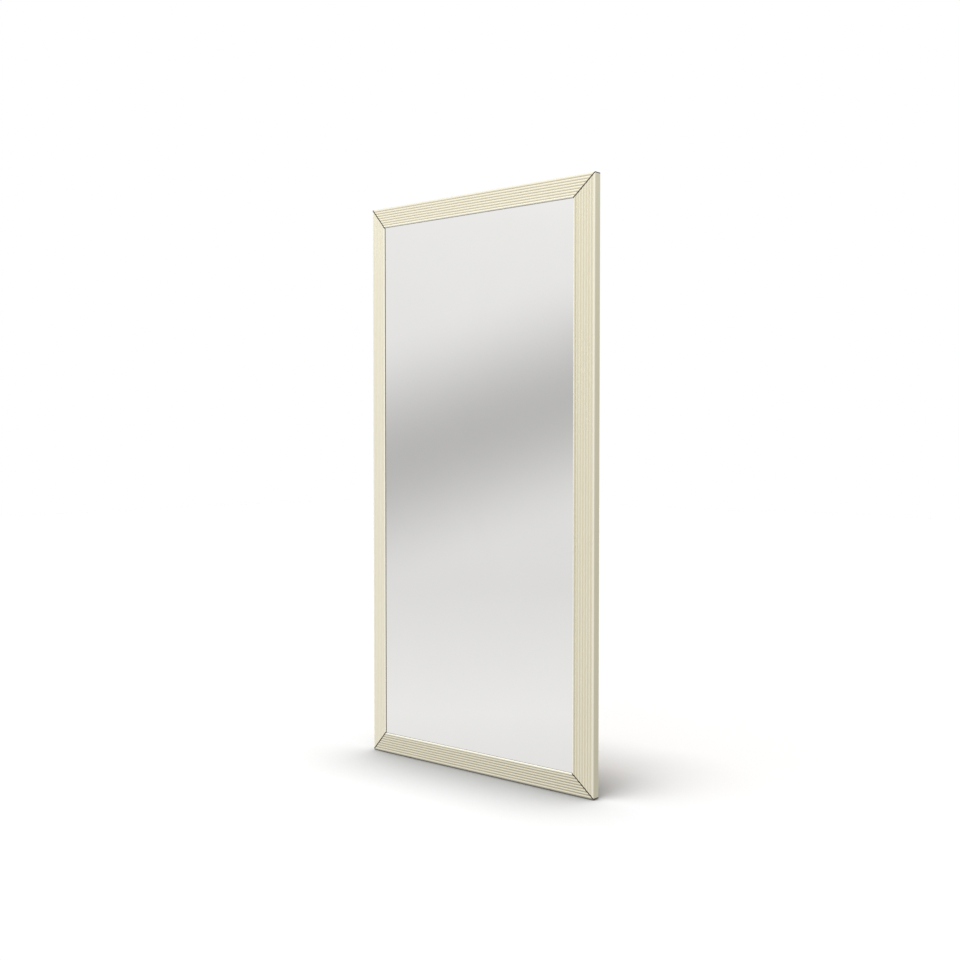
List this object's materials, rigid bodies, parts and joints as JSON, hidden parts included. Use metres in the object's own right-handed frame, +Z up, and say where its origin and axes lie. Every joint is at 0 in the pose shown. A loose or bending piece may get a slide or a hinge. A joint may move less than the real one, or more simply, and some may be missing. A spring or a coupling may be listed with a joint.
{
  "type": "full-length mirror",
  "caption": "Tall rectangular mirror in a mitred, reeded champagne frame, hung on a hidden wall cleat with its feet on the floor.",
  "frame": {"origin": "on the wall plane, midway between the wall cleat's outer fixing holes", "axes": "+Z up, +Y towards the wall, so the glass faces -Y, and +X to the right seen from the front"},
  "size_m": [1, 0.0439, 2.0033],
  "materials": {
    "champagne_aluminium": "satin champagne anodised",
    "darkened_brass": "blackened satin",
    "cast_aluminium": "as cast",
    "mill_aluminium": "mill finish",
    "zinc_plated_steel": "zinc plated",
    "pine": "planed, unfinished",
    "fibreboard": "raw board",
    "silvered_glass": "polished, silvered behind",
    "polyester_film": "matt film",
    "foam_tape": "closed-cell foam",
    "black_rubber": "matt",
    "clear_rubber": "satin",
    "black_nylon": "fine grain"
  },
  "bodies": {
    "wall_cleat": {"wall_cleat": "mill_aluminium"},
    "mirror": {"back_panel": "fibreboard", "batten_screws": "zinc_plated_steel", "bonding_tape": "foam_tape", "bottom_left_corner_key": "cast_aluminium", "bottom_left_mitre_plate": "darkened_brass", "bottom_rail": "champagne_aluminium", "bottom_right_corner_key": "cast_aluminium", "bottom_right_mitre_plate": "darkened_brass", "corner_key_screws": "zinc_plated_steel", "cushion_strip": "black_rubber", "foot_inserts": "zinc_plated_steel", "frame_cleat": "mill_aluminium", "frame_cleat_screws": "zinc_plated_steel", "hanging_batten": "pine", "left_stile": "champagne_aluminium", "lower_batten": "pine", "middle_batten": "pine", "mirror_glass": "silvered_glass", "right_stile": "champagne_aluminium", "safety_film": "polyester_film", "setting_blocks": "black_rubber", "top_left_corner_key": "cast_aluminium", "top_left_mitre_plate": "darkened_brass", "top_rail": "champagne_aluminium", "top_right_corner_key": "cast_aluminium", "top_right_mitre_plate": "darkened_brass", "turn_button_screws": "zinc_plated_steel", "wall_bumpers": "clear_rubber"},
    "left_foot": {"left_foot_pad": "black_nylon", "left_foot_stem": "zinc_plated_steel"},
    "right_foot": {"right_foot_pad": "black_nylon", "right_foot_stem": "zinc_plated_steel"},
    "left_turn_button_1": {"left_turn_button_1": "zinc_plated_steel"},
    "right_turn_button_1": {"right_turn_button_1": "zinc_plated_steel"},
    "left_turn_button_2": {"left_turn_button_2": "zinc_plated_steel"},
    "right_turn_button_2": {"right_turn_button_2": "zinc_plated_steel"},
    "left_turn_button_3": {"left_turn_button_3": "zinc_plated_steel"},
    "right_turn_button_3": {"right_turn_button_3": "zinc_plated_steel"},
    "left_turn_button_4": {"left_turn_button_4": "zinc_plated_steel"},
    "right_turn_button_4": {"right_turn_button_4": "zinc_plated_steel"},
    "bottom_turn_button_1": {"bottom_turn_button_1": "zinc_plated_steel"},
    "bottom_turn_button_2": {"bottom_turn_button_2": "zinc_plated_steel"}
  },
  "joints": [
    {"name": "lift_off", "type": "slide", "parent": "wall_cleat", "child": "mirror", "axis": [0, 0, 1], "range_m": [0, 0.014]},
    {"name": "left_foot_level", "type": "slide", "parent": "mirror", "child": "left_foot", "axis": [0, 0, -1], "range_m": [0, 0.01]},
    {"name": "right_foot_level", "type": "slide", "parent": "mirror", "child": "right_foot", "axis": [0, 0, -1], "range_m": [0, 0.01]},
    {"name": "left_turn_button_1_pivot", "type": "hinge", "parent": "mirror", "child": "left_turn_button_1", "pos_m": [-0.4435, -0.0252, -1.5505], "axis": [0, 1, 0], "range_deg": [-90, 90]},
    {"name": "right_turn_button_1_pivot", "type": "hinge", "parent": "mirror", "child": "right_turn_button_1", "pos_m": [0.4435, -0.0252, -1.5505], "axis": [0, 1, 0], "range_deg": [-90, 90]},
    {"name": "left_turn_button_2_pivot", "type": "hinge", "parent": "mirror", "child": "left_turn_button_2", "pos_m": [-0.4435, -0.0252, -1.09717], "axis": [0, 1, 0], "range_deg": [-90, 90]},
    {"name": "right_turn_button_2_pivot", "type": "hinge", "parent": "mirror", "child": "right_turn_button_2", "pos_m": [0.4435, -0.0252, -1.09717], "axis": [0, 1, 0], "range_deg": [-90, 90]},
    {"name": "left_turn_button_3_pivot", "type": "hinge", "parent": "mirror", "child": "left_turn_button_3", "pos_m": [-0.4435, -0.0252, -0.64383], "axis": [0, 1, 0], "range_deg": [-90, 90]},
    {"name": "right_turn_button_3_pivot", "type": "hinge", "parent": "mirror", "child": "right_turn_button_3", "pos_m": [0.4435, -0.0252, -0.64383], "axis": [0, 1, 0], "range_deg": [-90, 90]},
    {"name": "left_turn_button_4_pivot", "type": "hinge", "parent": "mirror", "child": "left_turn_button_4", "pos_m": [-0.4435, -0.0252, -0.1905], "axis": [0, 1, 0], "range_deg": [-90, 90]},
    {"name": "right_turn_button_4_pivot", "type": "hinge", "parent": "mirror", "child": "right_turn_button_4", "pos_m": [0.4435, -0.0252, -0.1905], "axis": [0, 1, 0], "range_deg": [-90, 90]},
    {"name": "bottom_turn_button_1_pivot", "type": "hinge", "parent": "mirror", "child": "bottom_turn_button_1", "pos_m": [-0.22, -0.0252, -1.814], "axis": [0, 1, 0], "range_deg": [-90, 90]},
    {"name": "bottom_turn_button_2_pivot", "type": "hinge", "parent": "mirror", "child": "bottom_turn_button_2", "pos_m": [0.22, -0.0252, -1.814], "axis": [0, 1, 0], "range_deg": [-90, 90]}
  ]
}
